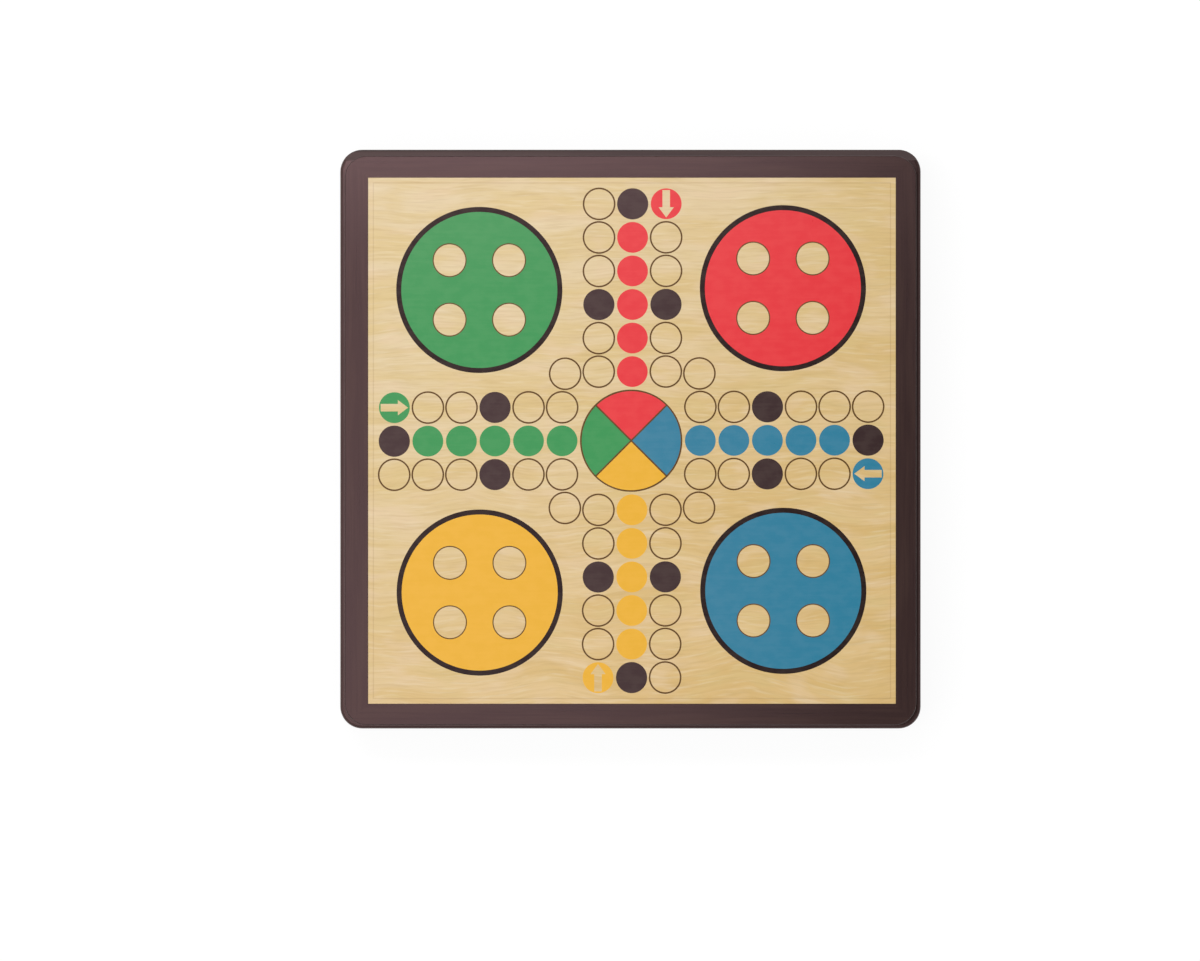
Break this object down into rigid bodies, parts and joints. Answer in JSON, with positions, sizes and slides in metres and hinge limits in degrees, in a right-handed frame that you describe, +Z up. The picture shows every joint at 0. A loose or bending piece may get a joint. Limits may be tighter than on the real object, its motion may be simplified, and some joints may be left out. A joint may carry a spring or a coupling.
{
  "type": "ludo board box",
  "caption": "Square wooden game box with rounded corners: its hinged lid is a ludo board, and felt-lined compartments inside hold pawns and dice.",
  "frame": {"origin": "middle of the underside of the shut box, on the surface that it stands on", "axes": "+Z up through the playing face, -Y towards the front edge that lifts, +Y towards the hinges, +X to the right seen from the front"},
  "size_m": [0.3, 0.2992, 0.0503],
  "materials": {
    "brown_lacquer": "satin dark brown lacquer",
    "divider_wood": "clear matt varnish",
    "floor_wood": "plywood, raw below",
    "panel_board": "fibreboard",
    "printed_face": "printed pale wood grain under satin varnish",
    "felt": "dark green felt",
    "magnet_plating": "nickel plate",
    "steel": "bright steel",
    "hinge_brass": "brass plate",
    "pawn_green": "gloss lacquer",
    "pawn_yellow": "gloss lacquer",
    "pawn_red": "gloss lacquer",
    "pawn_blue": "gloss lacquer",
    "die_plastic": "polished ivory plastic with dark pips"
  },
  "bodies": {
    "base": {"base_front_wall": "brown_lacquer", "base_back_wall": "brown_lacquer", "base_left_wall": "brown_lacquer", "base_right_wall": "brown_lacquer", "floor_panel": "floor_wood", "floor_nails": "steel", "long_divider": "divider_wood", "cell_divider_1": "divider_wood", "cell_divider_2": "divider_wood", "cell_divider_3": "divider_wood", "cell_divider_4": "divider_wood", "bay_divider_1": "divider_wood", "bay_divider_2": "divider_wood", "cell_felt_1": "felt", "cell_felt_2": "felt", "cell_felt_3": "felt", "cell_felt_4": "felt", "cell_felt_5": "felt", "bay_felt_1": "felt", "bay_felt_2": "felt", "bay_felt_3": "felt", "base_magnets": "magnet_plating", "left_hinge_base_leaf": "hinge_brass", "left_hinge_pin": "hinge_brass", "right_hinge_base_leaf": "hinge_brass", "right_hinge_pin": "hinge_brass", "base_hinge_screws": "hinge_brass"},
    "lid": {"lid_front_rail": "brown_lacquer", "lid_back_rail": "brown_lacquer", "lid_left_rail": "brown_lacquer", "lid_right_rail": "brown_lacquer", "playing_panel": "panel_board", "printed_sheet": "printed_face", "lid_felt": "felt", "lid_magnets": "magnet_plating", "left_hinge_lid_leaf": "hinge_brass", "right_hinge_lid_leaf": "hinge_brass", "lid_hinge_screws": "hinge_brass"},
    "pawn_green_1": {"pawn_green_1": "pawn_green"},
    "pawn_green_2": {"pawn_green_2": "pawn_green"},
    "pawn_green_3": {"pawn_green_3": "pawn_green"},
    "pawn_green_4": {"pawn_green_4": "pawn_green"},
    "pawn_yellow_1": {"pawn_yellow_1": "pawn_yellow"},
    "pawn_yellow_2": {"pawn_yellow_2": "pawn_yellow"},
    "pawn_yellow_3": {"pawn_yellow_3": "pawn_yellow"},
    "pawn_yellow_4": {"pawn_yellow_4": "pawn_yellow"},
    "pawn_red_1": {"pawn_red_1": "pawn_red"},
    "pawn_red_2": {"pawn_red_2": "pawn_red"},
    "pawn_red_3": {"pawn_red_3": "pawn_red"},
    "pawn_red_4": {"pawn_red_4": "pawn_red"},
    "pawn_blue_1": {"pawn_blue_1": "pawn_blue"},
    "pawn_blue_2": {"pawn_blue_2": "pawn_blue"},
    "pawn_blue_3": {"pawn_blue_3": "pawn_blue"},
    "pawn_blue_4": {"pawn_blue_4": "pawn_blue"},
    "die_1": {"die_1": "die_plastic"},
    "die_2": {"die_2": "die_plastic"}
  },
  "joints": [
    {"name": "lid_hinge", "type": "hinge", "parent": "base", "child": "lid", "pos_m": [0, 0.144, 0.03615], "axis": [-1, 0, 0], "range_deg": [0, 102]},
    {"name": "pawn_green_1_lift", "type": "slide", "parent": "base", "child": "pawn_green_1", "axis": [0, 0, 1], "range_m": [0, 0.014]},
    {"name": "pawn_green_2_lift", "type": "slide", "parent": "base", "child": "pawn_green_2", "axis": [0, 0, 1], "range_m": [0, 0.014]},
    {"name": "pawn_green_3_lift", "type": "slide", "parent": "base", "child": "pawn_green_3", "axis": [0, 0, 1], "range_m": [0, 0.014]},
    {"name": "pawn_green_4_lift", "type": "slide", "parent": "base", "child": "pawn_green_4", "axis": [0, 0, 1], "range_m": [0, 0.014]},
    {"name": "pawn_yellow_1_lift", "type": "slide", "parent": "base", "child": "pawn_yellow_1", "axis": [0, 0, 1], "range_m": [0, 0.014]},
    {"name": "pawn_yellow_2_lift", "type": "slide", "parent": "base", "child": "pawn_yellow_2", "axis": [0, 0, 1], "range_m": [0, 0.014]},
    {"name": "pawn_yellow_3_lift", "type": "slide", "parent": "base", "child": "pawn_yellow_3", "axis": [0, 0, 1], "range_m": [0, 0.014]},
    {"name": "pawn_yellow_4_lift", "type": "slide", "parent": "base", "child": "pawn_yellow_4", "axis": [0, 0, 1], "range_m": [0, 0.014]},
    {"name": "pawn_red_1_lift", "type": "slide", "parent": "base", "child": "pawn_red_1", "axis": [0, 0, 1], "range_m": [0, 0.014]},
    {"name": "pawn_red_2_lift", "type": "slide", "parent": "base", "child": "pawn_red_2", "axis": [0, 0, 1], "range_m": [0, 0.014]},
    {"name": "pawn_red_3_lift", "type": "slide", "parent": "base", "child": "pawn_red_3", "axis": [0, 0, 1], "range_m": [0, 0.014]},
    {"name": "pawn_red_4_lift", "type": "slide", "parent": "base", "child": "pawn_red_4", "axis": [0, 0, 1], "range_m": [0, 0.014]},
    {"name": "pawn_blue_1_lift", "type": "slide", "parent": "base", "child": "pawn_blue_1", "axis": [0, 0, 1], "range_m": [0, 0.014]},
    {"name": "pawn_blue_2_lift", "type": "slide", "parent": "base", "child": "pawn_blue_2", "axis": [0, 0, 1], "range_m": [0, 0.014]},
    {"name": "pawn_blue_3_lift", "type": "slide", "parent": "base", "child": "pawn_blue_3", "axis": [0, 0, 1], "range_m": [0, 0.014]},
    {"name": "pawn_blue_4_lift", "type": "slide", "parent": "base", "child": "pawn_blue_4", "axis": [0, 0, 1], "range_m": [0, 0.014]},
    {"name": "die_1_lift", "type": "slide", "parent": "base", "child": "die_1", "axis": [0, 0, 1], "range_m": [0, 0.025]},
    {"name": "die_2_lift", "type": "slide", "parent": "base", "child": "die_2", "axis": [0, 0, 1], "range_m": [0, 0.025]}
  ]
}
